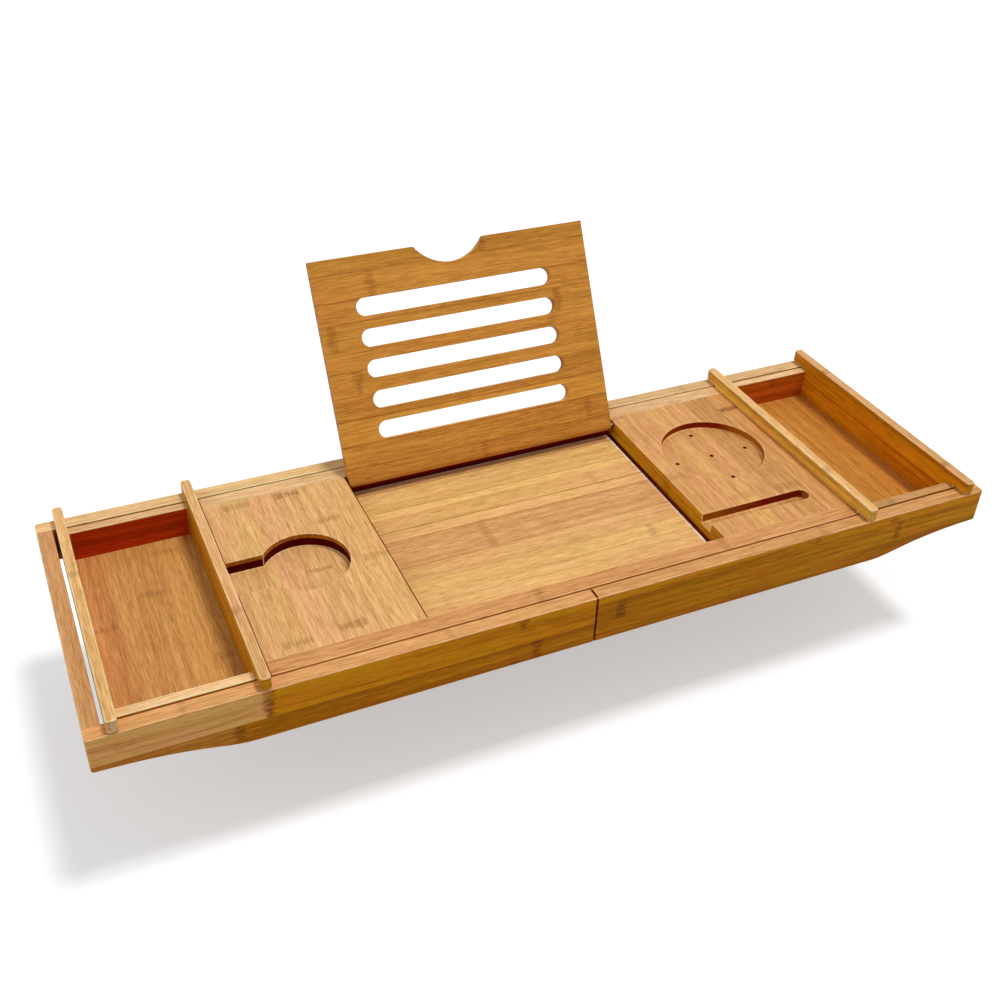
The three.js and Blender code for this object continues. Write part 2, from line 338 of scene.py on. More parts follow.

# How rough the noise is, and between which of its values pores, dashes and the patches on the shaded
# routed walls fade in
NOISE_ROUGHNESS = 0.6
PORE_SPREAD = (0.54, 0.66)
DASH_SPREAD = (0.38, 0.62)
DASH_LEAST = 0.4
PATCH_SPREAD = (0.4, 0.65)

# How much a strip's own darkness and the fibres count, and where and how much painted shade darkens the
# routed walls
STRIP_SHARE = 0.7
FIBRE_SHARE = 0.85
SHADE_FACING = (0.5, 0.8)
SHADE_INWARD = 0.5
CUT_FIBRE_LIGHTER, CUT_FIBRE_DARKER = 1.25, 0.75

# Dull shine of the varnish, and how deep the fibres stand
VARNISH_ROUGHNESS = (0.36, 0.52)
VARNISH_BUMP = 0.35
FIBRE_HEIGHT = 0.12 * MM

# Drawn steel
SCRATCH_LENGTH, SCRATCH_WIDTH = 12 * MM, 0.3 * MM
SCRATCH_HEIGHT = 0.02 * MM
SCRATCH_BUMP = 0.2
STEEL_ROUGHNESS = (0.22, 0.42)

# How much the bands and the clouds change a finish, and how much it shines
Finish = namedtuple("Finish", "bands clouds sheen")
BROAD = Finish(0.45, 0.1, 0.15)
NARROW = Finish(1.1, 0.5, 0.04)
CUT = Finish(0, 0, 0.02)

# How light, dark, yellow and pink fibres, knuckles, seams and pores change the tone of a piece
LIGHTER, DARKER = 1.25, 0.72
DEEPENING = (1.0, 1.3, 1.9)
YELLOWER = (0.98, 1.06, 0.78, 1.0)
PINKER = (1.04, 0.90, 1.04, 1.0)
KNUCKLE_STAIN = (0.36, 0.24, 0.13, 1.0)
SEAM_STAIN = (0.52, 0.40, 0.26, 1.0)
PORE_STAIN = (0.84, 0.78, 0.68, 1.0)

# A strip of a board: where it starts across the grain in mm, how dark and how pink it is from -1 to 1,
# how strong the seam at its start is, its knuckles in mm along the grain, their strength, and how much
# paler it is before the first of them
Strip = namedtuple(
    "Strip", "start dark pink seam knuckles stain paler", defaults=(0, 0, 0, (), 0.5, 0)
)


def shade(tone, amount):
    """A tone made lighter or darker; as wood darkens it grows more saturated."""
    light = [min(1.0, channel * amount**power) for channel, power in zip(tone, DEEPENING)]
    return (*light, 1.0)


def strip_tables(tree, across_share, strips, length, width):
    """Three stepped ramps over the board's width that give each strip's values."""
    rows = []
    for number, strip in enumerate(strips):
        right, seam = width, 0
        if number + 1 < len(strips):
            right, seam = strips[number + 1].start, strips[number + 1].seam
        places = [place / length for place in strip.knuckles] + [NO_KNUCKLE] * MOST_KNUCKLES
        looks = (0.5 + strip.dark * STRIP_SHARE, 0.5 + strip.pink / 2, number / len(strips), strip.paler)
        edges = (strip.start / width, right / width, strip.seam, seam)
        rows.append(((*places[:MOST_KNUCKLES], strip.stain), edges, looks))
    tables = []
    for part in range(3):
        table = add(tree, "ShaderNodeValToRGB", {0: across_share})
        table.color_ramp.interpolation = "CONSTANT"
        stops = table.color_ramp.elements
        stops.remove(stops[1])
        for number, row in enumerate(rows):
            stop = stops.new(row[1][0]) if number else stops[0]
            stop.color = row[part]
        tables.append(table)
    return tables


def grain_noise(tree, grain, length, breadth, detail):
    """Noise drawn out along the grain."""
    scale = (1 / length, 1 / breadth, 1 / breadth)
    sized = add(tree, "ShaderNodeVectorMath", {0: grain, 1: scale}, operation="MULTIPLY")
    settings = {"Vector": sized, "Scale": 1.0, "Detail": detail, "Roughness": NOISE_ROUGHNESS}
    return add(tree, "ShaderNodeTexNoise", settings)


def swing(tree, value, reach, spread=0.2):
    """Noise from its usual spread about a half to as much either side of nought."""
    ends = {0: value, 1: 0.5 - spread, 2: 0.5 + spread, 3: -reach, 4: reach}
    return add(tree, "ShaderNodeMapRange", ends, clamp=False)


def knuckle_mask(tree, places, along_share, length, ragged, bowed, dashes):
    """How much of a knuckle's stain each point has: a ragged row of short dark dashes."""
    apart = add(tree, "ShaderNodeVectorMath", {0: places, 1: along_share}, operation="SUBTRACT")
    apart = add(tree, "ShaderNodeVectorMath", {0: apart}, operation="ABSOLUTE")
    nearest, *others = add(tree, "ShaderNodeSeparateXYZ", {0: apart}).outputs
    for other in others:
        nearest = add(tree, "ShaderNodeMath", {0: nearest, 1: other}, operation="MINIMUM")
    rag = swing(tree, ragged, KNUCKLE_RAG / 2)
    bow = swing(tree, bowed, KNUCKLE_BOW / 2)
    rag = add(tree, "ShaderNodeMath", {0: rag, 1: bow}, operation="ADD")
    nearest = add(tree, "ShaderNodeMath", {0: nearest, 1: length, 2: rag}, operation="MULTIPLY_ADD")
    ends = {0: nearest, 1: KNUCKLE_HALF - KNUCKLE_FADE, 2: KNUCKLE_HALF + KNUCKLE_FADE, 3: 1.0, 4: 0.0}
    mask = add(tree, "ShaderNodeMapRange", ends, interpolation_type="SMOOTHSTEP")
    ends = {0: dashes, 1: DASH_SPREAD[0], 2: DASH_SPREAD[1], 3: DASH_LEAST}
    dashes = add(tree, "ShaderNodeMapRange", ends)
    for part in (dashes, places.outputs["Alpha"]):
        mask = add(tree, "ShaderNodeMath", {0: mask, 1: part}, operation="MULTIPLY")
    return mask


def seam_mask(tree, rims, across_share, width):
    """A thin line at both edges of each strip, as strong as its seam."""
    start, end, seam = add(tree, "ShaderNodeSeparateXYZ", {0: rims.outputs["Color"]}).outputs
    lines = []
    sides = ((across_share, start, seam), (end, across_share, rims.outputs["Alpha"]))
    for upper, lower, strength in sides:
        apart = add(tree, "ShaderNodeMath", {0: upper, 1: lower}, operation="SUBTRACT")
        line = add(tree, "ShaderNodeMapRange", {0: apart, 2: SEAM_WIDTH / width, 3: 1.0, 4: 0.0})
        lines.append(add(tree, "ShaderNodeMath", {0: line, 1: strength}, operation="MULTIPLY"))
    return add(tree, "ShaderNodeMath", {0: lines[0], 1: lines[1]}, operation="MAXIMUM")


def stained(tree, colour, amount, stain):
    """A colour multiplied by a stain where the amount says."""
    links = {0: amount, 6: colour, 7: stain}
    mixed = add(tree, "ShaderNodeMix", links, data_type="RGBA", blend_type="MULTIPLY")
    return mixed.outputs[2]


def varnished(tree, colour, fibre, relief, sheen):
    """Satin varnish over the wood: a dull shine that the fibres break up."""
    ends = {0: fibre, 3: VARNISH_ROUGHNESS[0], 4: VARNISH_ROUGHNESS[1]}
    shine = add(tree, "ShaderNodeMapRange", ends)
    ends = {"Height": relief, "Strength": VARNISH_BUMP, "Distance": FIBRE_HEIGHT}
    bump = add(tree, "ShaderNodeBump", ends)
    links = {"Base Color": colour, "Roughness": shine, "Normal": bump, "Specular IOR Level": sheen}
    shader = add(tree, "ShaderNodeBsdfPrincipled", links)
    add(tree, "ShaderNodeOutputMaterial", {"Surface": shader})


def grain_space(tree, low, high, order, turn):
    """The piece's own coordinates along, across and through its grain, and the span of the first two."""
    place = add(tree, "ShaderNodeTexCoord").outputs["Object"]
    if turn:
        place = add(tree, "ShaderNodeMapping", {"Vector": place, "Rotation": (turn, 0, 0)})
    axes = add(tree, "ShaderNodeSeparateXYZ", {0: place})
    along, across, through = (axes.outputs[axis] for axis in order)
    spans = ["XYZ".index(axis) for axis in order[:2]]
    (start, end), (foot, head) = ((low[axis], high[axis]) for axis in spans)
    along_share = add(tree, "ShaderNodeMapRange", {0: along, 1: start, 2: end}, clamp=False)
    across_share = add(tree, "ShaderNodeMapRange", {0: across, 1: foot, 2: head}, clamp=False)
    return along, across, through, along_share, across_share, end - start, head - foot


def bamboo(name, low, high, order, strips, tone, finish, turn=0.0):
    """Laminated bamboo, planed, sanded and wiped with satin varnish: straight glued strips that differ
    a little in tone, fine fibres along each strip, and darker ragged knuckles where the cane had nodes."""
    material, tree = new_material(name)
    along, across, through, along_share, across_share, length, width = grain_space(
        tree, low, high, order, turn
    )
    places, rims, tints = strip_tables(tree, across_share, strips, length / MM, width / MM)

    # Each strip takes its fibres from another part of the noise
    tint = add(tree, "ShaderNodeSeparateXYZ", {0: tints.outputs["Color"]})
    own = add(tree, "ShaderNodeTexWhiteNoise", {"W": tint.outputs[2]}, noise_dimensions="1D")
    shifted = add(tree, "ShaderNodeMath", {0: own, 1: 1.0, 2: along}, operation="MULTIPLY_ADD")
    grain = add(tree, "ShaderNodeCombineXYZ", {0: shifted, 1: across, 2: through})
    fibre = grain_noise(tree, grain, FIBRE_LENGTH, FIBRE_WIDTH, 3.0)
    pores = grain_noise(tree, grain, PORE_LENGTH, PORE_WIDTH, 1.0)
    bands = grain_noise(tree, grain, BAND_LENGTH, BAND_WIDTH, 2.0)
    cloud = grain_noise(tree, grain, CLOUD_LENGTH, CLOUD_WIDTH, 2.0)
    ragged = grain_noise(tree, grain, KNUCKLE_HALF, DASH_WIDTH, 1.0)
    bowed = grain_noise(tree, grain, KNUCKLE_PITCH, KNUCKLE_PITCH, 1.0)
    dashes = grain_noise(tree, grain, KNUCKLE_PITCH, DASH_WIDTH, 1.0)

    # From light to dark by strip, fibres and bands, and paler before a strip's first knuckle
    depth = tint
    for layer, share in ((fibre, FIBRE_SHARE), (bands, finish.bands)):
        change = swing(tree, layer, share / 2)
        depth = add(tree, "ShaderNodeMath", {0: depth, 1: change}, operation="ADD")
    depth = add(tree, "ShaderNodeClamp", {0: depth})
    first = add(tree, "ShaderNodeSeparateXYZ", {0: places})
    before = add(tree, "ShaderNodeMath", {0: first, 1: along_share}, operation="SUBTRACT")
    ends = {0: before, 1: -PALE_FADE / length, 2: PALE_FADE / length}
    before = add(tree, "ShaderNodeMapRange", ends)
    before = add(tree, "ShaderNodeMath", {0: before, 1: tints.outputs["Alpha"]}, operation="MULTIPLY")
    ends = []
    for amount in (LIGHTER, DARKER):
        paler = {0: before, 6: shade(tone, amount), 7: shade(PEACH, amount)}
        ends.append(add(tree, "ShaderNodeMix", paler, data_type="RGBA").outputs[2])
    ends = {0: depth, 6: ends[0], 7: ends[1]}
    colour = add(tree, "ShaderNodeMix", ends, data_type="RGBA").outputs[2]

    # Yellow and pink clouds, then pores, knuckles and seams
    hue = swing(tree, cloud, finish.clouds)
    hue = add(tree, "ShaderNodeMath", {0: hue, 1: tint.outputs[1]}, operation="ADD", use_clamp=True)
    hue = add(tree, "ShaderNodeMix", {0: hue, 6: YELLOWER, 7: PINKER}, data_type="RGBA").outputs[2]
    colour = stained(tree, colour, 1.0, hue)
    pore = add(tree, "ShaderNodeMapRange", {0: pores, 1: PORE_SPREAD[0], 2: PORE_SPREAD[1]})
    colour = stained(tree, colour, pore, PORE_STAIN)
    knuckle = knuckle_mask(tree, places, along_share, length, ragged, bowed, dashes)
    colour = stained(tree, colour, knuckle, KNUCKLE_STAIN)
    seam = seam_mask(tree, rims, across_share, width)
    colour = stained(tree, colour, seam, SEAM_STAIN)
    relief = add(tree, "ShaderNodeMath", {0: fibre, 1: seam}, operation="SUBTRACT")
    varnished(tree, colour, fibre, relief, finish.sheen)
    return material


def shaded_routed_bamboo(name, low, high, order, side_tone, end_tone):
    """Bamboo cut by a router and only wiped with varnish, darkened with painted shade: one shade tone on
    the walls that face along the grain, growing in over the first half across the piece, and another on
    the walls that run along it."""
    material, tree = new_material(name)
    along, across, through, _, across_share, *_ = grain_space(tree, low, high, order, 0.0)
    grain = add(tree, "ShaderNodeCombineXYZ", {0: along, 1: across, 2: through})
    fibre = grain_noise(tree, grain, PORE_LENGTH, FIBRE_WIDTH, 3.0)
    cloud = grain_noise(tree, grain, CLOUD_WIDTH, CLOUD_WIDTH, 2.0)
    facing = add(tree, "ShaderNodeTexCoord").outputs["Normal"]
    facing = add(tree, "ShaderNodeSeparateXYZ", {0: facing}).outputs[order[0]]
    facing = add(tree, "ShaderNodeMath", {0: facing}, operation="ABSOLUTE")
    facing = add(tree, "ShaderNodeMapRange", {0: facing, 1: SHADE_FACING[0], 2: SHADE_FACING[1]})
    inward = add(tree, "ShaderNodeMapRange", {0: across_share, 2: SHADE_INWARD})
    facing = add(tree, "ShaderNodeMath", {0: facing, 1: inward}, operation="MULTIPLY")
    tones = []
    for tone in (side_tone, end_tone):
        ends = {0: fibre, 6: shade(tone, CUT_FIBRE_LIGHTER), 7: shade(tone, CUT_FIBRE_DARKER)}
        tones.append(add(tree, "ShaderNodeMix", ends, data_type="RGBA").outputs[2])
    ends = {0: facing, 6: tones[0], 7: tones[1]}
    colour = add(tree, "ShaderNodeMix", ends, data_type="RGBA").outputs[2]
    patch = add(tree, "ShaderNodeMapRange", {0: cloud, 1: PATCH_SPREAD[0], 2: PATCH_SPREAD[1]})
    colour = stained(tree, colour, patch, PORE_STAIN)
    varnished(tree, colour, fibre, fibre, CUT.sheen)
    return material


def steel(name):
    """Drawn stainless steel rod: dull grey metal with fine scratches along it."""
    material, tree = new_material(name)
    place = add(tree, "ShaderNodeTexCoord").outputs["Object"]
    scratches = grain_noise(tree, place, SCRATCH_LENGTH, SCRATCH_WIDTH, 2.0)
    ends = {0: scratches, 3: STEEL_ROUGHNESS[0], 4: STEEL_ROUGHNESS[1]}
    shine = add(tree, "ShaderNodeMapRange", ends)
    ends = {0: scratches, 6: BRIGHT_STEEL, 7: DULL_STEEL}
    tone = add(tree, "ShaderNodeMix", ends, data_type="RGBA").outputs[2]
    ends = {"Height": scratches, "Strength": SCRATCH_BUMP, "Distance": SCRATCH_HEIGHT}
    bump = add(tree, "ShaderNodeBump", ends)
    links = {"Base Color": tone, "Metallic": 1.0, "Roughness": shine, "Normal": bump}
    shader = add(tree, "ShaderNodeBsdfPrincipled", links)
    add(tree, "ShaderNodeOutputMaterial", {"Surface": shader})
    return material


# Tones of the varnished wood in full light, and lighter and darker tones that paint light and shade on
# some faces
PALE = linear("#e6bb86")
SAND = linear("#d7ae7a")
HONEY = linear("#e0ad73")
GOLD = linear("#e2b171")
AMBER = linear("#d79f60")
TAN = linear("#c5965c")
TRAY_TAN = linear("#cb9350")
RUST = linear("#c88836")
SYRUP = linear("#d68a14")
TOFFEE = linear("#d6953d")
SHADE_CHESTNUT = linear("#b83c10")
DEEPEST_SHADE = linear("#520500")
DEEP_SHADE = linear("#862104")
SHADE_UNDER_STAND = linear("#7e1608")
SHADE_CARAMEL = linear("#b06a1c")
LIT_BLOND = linear("#ffc088")
PEACH = linear("#ffb068")
SHADE_MAHOGANY = linear("#c8681c")
SHADE_OLIVE = linear("#c68c12")
LIT_STRAW = linear("#e8b04e")
RIM_HIGHLIGHT = linear("#ffe2d0")

# Tones of the steel, and of the paper floor as the camera sees it and, dimmer, as it lights the wood
BRIGHT_STEEL = linear("#77797c")
DULL_STEEL = linear("#57595c")
SHOWN_PAPER = linear("#dadada")
DIM_PAPER = linear("#9c9c9c")
WHITE = linear("#ffffff")

# Tones of the broad faces, of the sides and of the routed walls along and across the grain
FACE_TONES = {
    # The battens are painted dark, as the shade in the gaps beside the centre board where they show
    "board_batten_left": SHADE_CHESTNUT,
    "board_batten_right": SHADE_CHESTNUT,
    "glass_holder_panel": HONEY,
    "soap_and_phone_panel": AMBER,
    "centre_board": GOLD,
    "inner_rail_front": AMBER,
    "inner_rail_back": PALE,
    "left_rail_front": AMBER,
    "right_rail_front": AMBER,
    "left_rail_back": PALE,
    "right_rail_back": SAND,
    "left_end_rail": TAN,
    "right_end_rail": TAN,
    "left_tray_floor": TRAY_TAN,
    "right_tray_floor": RUST,
    "left_tray_wall_front": PALE,
    "left_tray_wall_back": PALE,
    "right_tray_wall_front": TAN,
    "right_tray_end_board_left": GOLD,
    "right_tray_wall_back": PALE,
    "reading_stand_panel": TOFFEE,
}
SIDE_TONES = {
    # Painted light and shade in the side tones: lighter on the left end boards of both trays, where light
    # falls; darker on the left tray's right end board, the panels' sides and the back walls of both trays,
    # where shade falls
    "left_tray_end_board_left": LIT_BLOND,
    "left_tray_end_board_right": SHADE_OLIVE,
    "right_tray_end_board_left": LIT_STRAW,
    "soap_and_phone_panel": SHADE_OLIVE,
    "glass_holder_panel": SHADE_CARAMEL,
    "left_tray_wall_back": SHADE_CHESTNUT,
    "right_tray_wall_back": SHADE_MAHOGANY,
    "reading_stand_panel": TOFFEE,
}
# Painted shade on the routed walls, along and across the grain: deep red in the glass seat and its channel
# and on the back inner rail's face under the stand, browner to dark red in the soap seat and phone groove
ROUTED_SHADE_TONES = {
    "inner_rail_back": (SHADE_UNDER_STAND, SHADE_UNDER_STAND),
    "glass_holder_panel": (DEEPEST_SHADE, DEEPEST_SHADE),
    "soap_and_phone_panel": (SHADE_CARAMEL, DEEP_SHADE),
}
# The centre board's edges and rim take a near-white painted highlight
EDGE_TONES = {"centre_board": RIM_HIGHLIGHT}
# The eased edges are lighter for sanding wear, and part of the lift is a painted highlight along them
EDGE_WEAR_AND_HIGHLIGHT = 1.28  # sanding leaves the edges lighter

# Strips that the view shows
STRIPS = {
    "glass_holder_panel": [
        Strip(0, -0.1, 0.0),
        Strip(13.5, 0.0, -0.3, 0.2, (173.5, 9), 0.45),
        Strip(34, -0.1, 0.4, 0.1),
        Strip(54, 0.05, 0.0, 0.2, (175, 90.7, 12), 0.6),
        Strip(73.5, 0.0, -0.2, 0.15, (132.7,), 0.4),
        Strip(93.5, 0.0, -0.3, 0.15, (78.5,), 0.4),
    ],
    "soap_and_phone_panel": [
        Strip(0, 0.0, 0.1, 0, (178, 83), 0.3),
        Strip(15, -0.05, 0.5, 0.1),
        Strip(31.5, -0.2, -0.2, 0.2, (40,), 0.3),
        Strip(52, 0.0, 0.3, 0.1),
        Strip(72, 0.4, 0.0, 0.3, (39,), 0.35),
        Strip(95, 0.05, 0.2, 0.1, (156,), 1.0),
    ],
    "centre_board": [
        Strip(0, 0.15, 0.4),
        Strip(10, -0.15, -0.1, 0.6, (22,), 0.2),
        Strip(37, -0.2, -0.4, 0.15, (200,), 0.4),
        Strip(52.7, 0.05, 0.2, 0.35),
        Strip(71.8, 0.3, 0.5, 0.4, (80,), 0.4),
        Strip(105, -0.15, 0.0, 0.3),
        Strip(116.8, 0.0, -0.1, 0.9, (190,), 0.3),
        Strip(134, -0.4, -0.4),
        Strip(143, -0.1, -0.3, 0.6),
        Strip(169.8, 0.05, 0.2, 1.0),
    ],
    "reading_stand_panel": [
        Strip(0, 0.45, 0.2, 0, (117,), 0.4),
        Strip(14, 0.3, 0.1, 0.3, (215,), 0.4),
        Strip(32, -0.15, -0.2, 0.5),
        Strip(51.7, 0.3, 0.0, 0.8),
        Strip(70, 0.0, 0.0, 0.2, (22,), 0.5),
        Strip(89.2, -0.05, 0.2, 0.5, (195,), 0.3),
        Strip(107, 0.0, 0.0, 0.2, (8, 202), 0.5),
        Strip(126.7, -0.05, 0.2, 0.6, (102,), 0.3),
        Strip(144, -0.15, 0.2, 0.7, (46,), 0.45),
        Strip(165, 0.15, 0.0, 0.5, (143,), 0.4),
    ],
    "left_rail_front": [Strip(0, -0.1, 0.3, 0, (60, 240), 0.3)],
    "left_tray_wall_front": [Strip(0, -0.4, 0.0)],
    "left_tray_end_board_left": [Strip(0, -0.1, -0.2, 0, (150,), 0.4)],
    "left_tray_end_board_right": [Strip(0, 0.1, 0.1, 0, (70,), 0.4)],
    "right_tray_end_board_left": [Strip(0, -0.3, 0.2, 0, (60,), 0.4)],
    "right_tray_end_board_right": [Strip(0, 0.25, 0.0, 0, (30, 190), 0.5)],
    "left_tray_floor": [
        Strip(0, 0.05, 0.6, 0, (105,), 0.4),
        Strip(17, 0.0, 0.2, 0.2),
        Strip(35, 0.0, 0.1, 0.2, (131,), 0.45),
        Strip(55, -0.1, -0.1, 0.2, (177,), 0.3),
        Strip(74, 0.1, -0.2, 0.2, (48,), 0.35),
    ],
    "right_tray_floor": [
        Strip(0, -0.1, 0.2),
        Strip(14, 0.0, 0.2, 0.2, (128,), 0.5),
        Strip(34, 0.05, 0.0, 0.2),
        Strip(52, 0.1, 0.3, 0.2),
        Strip(70, 0.15, 0.6, 0.2),
    ],
}
SIDE_STRIPS = {
    "left_rail_front": [
        Strip(0, 0.5, 0.2, 0, (288, 304), 0.6),
        Strip(4, 0.35, 0.0, 0, (92, 304), 0.7, 0.3),
        Strip(17, -0.6, 0.3, 0.5, (113,), 1.0, 0.85),
        Strip(31, -0.5, 0.2, 0.2, (113, 292), 0.8, 0.9),
    ],
    "right_rail_front": [
        Strip(0, 0.5, 0.2),
        Strip(7, 0.3, -0.2, 0.1),
        Strip(16, 0.05, -0.3, 0, (20, 268), 0.8),
        Strip(33, -0.35, 0.2, 0.6, (188, 262), 0.6),
    ],
}
STRIP_WIDTH = 20  # mm, of strips that the view doesn't show
KNUCKLE_EVERY = 190  # mm
LEAST_STRIP = 1  # mm

# Limits of the values drawn for such a strip; the first two multiply its width and knuckle spacing
STRIP_VARIES = (0.85, 1.1)
KNUCKLE_VARIES = (0.7, 1.1)
DARK_VARIES = (-0.15, 0.2)
PINK_VARIES = (-0.4, 0.5)
SEAM_VARIES = (0.1, 0.4)
STAIN_VARIES = (0.2, 0.5)

draw = random.Random(26)


def likely_strips(low, high, order):
    """Strips for a face that the view hides or shows only narrowly."""
    length, width = ((high["XYZ".index(axis)] - low["XYZ".index(axis)]) / MM for axis in order[:2])
    strips, start = [], 0.0
    while start < width - LEAST_STRIP:
        knuckles = [draw.uniform(0, 2 * KNUCKLE_EVERY)]
        while knuckles[-1] + KNUCKLE_EVERY < length and len(knuckles) < MOST_KNUCKLES:
            knuckles.append(knuckles[-1] + KNUCKLE_EVERY * draw.uniform(*KNUCKLE_VARIES))
        dark, pink = draw.uniform(*DARK_VARIES), draw.uniform(*PINK_VARIES)
        seam = draw.uniform(*SEAM_VARIES) if start else 0
        strips.append(Strip(start, dark, pink, seam, knuckles, draw.uniform(*STAIN_VARIES)))
        start += STRIP_WIDTH * draw.uniform(*STRIP_VARIES)
    return strips


def dress(piece, node, order, side_order, turn=0.0, span=None):
    """Gives a wooden piece its finishes: broad faces, sides, eased edges and, if cut, routed walls in
    painted shade.
    """
    low, high = span or box(node)
    strips = STRIPS.get(node) or likely_strips(low, high, order)
    side_strips = SIDE_STRIPS.get(node)
    if not side_strips:
        side_strips = strips if order[1] == side_order[1] else likely_strips(low, high, side_order)
    face_tone = FACE_TONES.get(node, HONEY)
    side_tone = SIDE_TONES.get(node, SYRUP)
    finishes = (
        ("face", order, strips, face_tone, BROAD),
        ("side", side_order, side_strips, side_tone, NARROW),
        ("edge", order, strips, EDGE_TONES.get(node, shade(face_tone, EDGE_WEAR_AND_HIGHLIGHT)), BROAD),
    )
    for number, (part, part_order, part_strips, tone, finish) in enumerate(finishes):
        name = f"satin_varnished_bamboo_{node}_{part}"
        wood = bamboo(name, low, high, part_order, part_strips, tone, finish, turn)
        piece.data.materials[number] = wood
    if any(face.material_index == SHADED_ROUTED for face in piece.data.polygons):
        tones = ROUTED_SHADE_TONES.get(node, (DEEP_SHADE, DEEPEST_SHADE))
        name = f"shaded_routed_bamboo_{node}"
        piece.data.materials[SHADED_ROUTED] = shaded_routed_bamboo(name, low, high, side_order, *tones)
    else:
        piece.data.materials.pop(index=SHADED_ROUTED)


def polish(piece):
    """Smooth shading that keeps the flat faces flat."""
    alone(piece)
    bpy.ops.object.shade_smooth_by_angle(angle=SMOOTH)
    modifier = piece.modifiers.new("flat_faces", "WEIGHTED_NORMAL")
    modifier.keep_sharp = True
    bpy.ops.object.modifier_apply(modifier=modifier.name)


def hand_over(piece, node, body):
    """Polishes a finished piece and lets it take its CAD node's place on its body."""
    polish(piece)
    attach(piece, body)
    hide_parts(node)


# Frames

def rise_point(share):
    """A point of the curve under a rail's end, as shares of its length and of its climb."""
    (x1, drop1), (x2, drop2) = RISE_HANDLES
    rest = 1 - share
    along = 3 * rest * rest * share * x1 + 3 * rest * share * share * x2 + share**3
    fall = 3 * rest * rest * share * drop1 + 3 * rest * share * share * drop2 + share**3
    return along, 1 - fall


def outer_rail(side, place):
    """An outer rail: deep in the middle, climbing in one curve to its shallow end."""
    node = f"{side}_rail_{place}"
    low, high = box(node)
    end_low, _ = box(f"{side}_end_rail")
    climb = end_low.z - low.z
    piece = block(node + "_wood", low, high)
    end, seam, inward = (low.x, high.x, 1) if side == "left" else (high.x, low.x, -1)
    points = [rise_point(step / RISE_STEPS) for step in range(RISE_STEPS + 1)]
    places = [end + inward * along * RISE_LENGTH for along, _ in points]
    slice_at(piece, "X", places[1:])
    for x, (_, lift) in zip(places[:-1], points[:-1]):
        edit(piece, "VERT")
        select(piece, "verts", lambda co: abs(co.x - x) < NEAR and abs(co.z - low.z) < NEAR)
        bpy.ops.transform.translate(value=(0, 0, lift * climb))
        leave()
    outer = low.y if place == "front" else high.y
    round_edges(
        piece,
        lambda co: abs(co.x - end) < NEAR and abs(co.y - outer) < NEAR,
        CORNER_ROUND,
        CORNER_STEPS,
        SIDE,
    )
    # The ends that meet at the seam take the routed walls' painted shade, which draws the seam's line dark
    round_edges(piece, lambda co: abs(co.x - seam) < NEAR, SEAM_ROUND, EASE_STEPS, SHADED_ROUTED)
    cut(piece, tongue_channel(side, place, low, high))
    ease(piece)
    dress(piece, node, "XYZ", "XZY")
    hand_over(piece, node, f"{side}_frame")


def tongue_channel(side, place, low, high):
    """The blind channel on the inner face, in which a tongue of the middle part runs."""
    rail_low, rail_high = box("inner_rail_front")
    seam = high.x - STOP_WALL if side == "left" else low.x + STOP_WALL
    reach = TONGUE_INSET - CHANNEL_GAP
    far = rail_low.x + reach if side == "left" else rail_high.x - reach
    left, right = sorted((seam, far))
    if place == "front":
        front, back = high.y - CHANNEL_DEPTH, high.y + OVERRUN
    else:
        front, back = low.y - OVERRUN, low.y + CHANNEL_DEPTH
    base = low.z + CHANNEL_BASE
    cutter = block(
        "channel", Vector((left, front, base)), Vector((right, back, base + CHANNEL_HEIGHT))
    )
    # The channel's walls take the routed walls' painted shade
    for face in cutter.data.polygons:
        face.material_index = SHADED_ROUTED
    return cutter


def end_rail(side):
    """The short rail that joins two outer rails and lies on the rim of the bath."""
    node = f"{side}_end_rail"
    low, high = box(node)
    piece = block(node + "_wood", low, high)
    ease(piece, glued=in_planes((1, low.y), (1, high.y)))
    dress(piece, node, "YXZ", "YZX")
    hand_over(piece, node, f"{side}_frame")


# Middle part

def inner_rail(place):
    """A squared rail with a tongue near each end, drawn out of its outer face."""
    node = f"inner_rail_{place}"
    low, high = box(node)
    frame_low, frame_high = box(f"left_rail_{place}")
    if place == "front":
        outer, tip, inner = frame_high.y + SLIDE_GAP, low.y, high.y
    else:
        outer, tip, inner = frame_low.y - SLIDE_GAP, high.y, low.y
    near, far = sorted((outer, inner))
    piece = block(node + "_wood", Vector((low.x, near, low.z)), Vector((high.x, far, high.z)))
    starts = (low.x + TONGUE_INSET, high.x - TONGUE_INSET - TONGUE_LENGTH)
    bottom = frame_low.z + CHANNEL_BASE + TONGUE_GAP
    top = bottom + CHANNEL_HEIGHT - 2 * TONGUE_GAP
    slice_at(piece, "X", [start + run for start in starts for run in (0, TONGUE_LENGTH)])
    slice_at(piece, "Z", (bottom, top))
    for start in starts:
        edit(piece, "FACE")
        select(
            piece,
            "faces",
            lambda co: abs(co.y - outer) < NEAR
            and start - NEAR < co.x < start + TONGUE_LENGTH + NEAR
            and bottom - NEAR < co.z < top + NEAR,
        )
        bpy.ops.mesh.extrude_region_move(TRANSFORM_OT_translate={"value": (0, tip - outer, 0)})
        leave()
    if place == "back":
        # Its inner face is painted dark as shade and shows as a band under the stand
        for face in piece.data.polygons:
            if abs(face.center.y - inner) < NEAR:
                face.material_index = SHADED_ROUTED
    ease(piece, glued=in_planes((1, inner)))
    dress(piece, node, "XYZ", "XZY")
    hand_over(piece, node, "middle")


def pin_hole(pin):
    """A cutter for the hole that a hinge pin sits in."""
    low, high = box(pin)
    radius = (high.z - low.z) / 2 + PIN_HOLE_GAP
    return rod("hole", (low + high) / 2, radius, high.x - low.x + 2 * PIN_HOLE_GAP, "X", HOLE_STEPS)


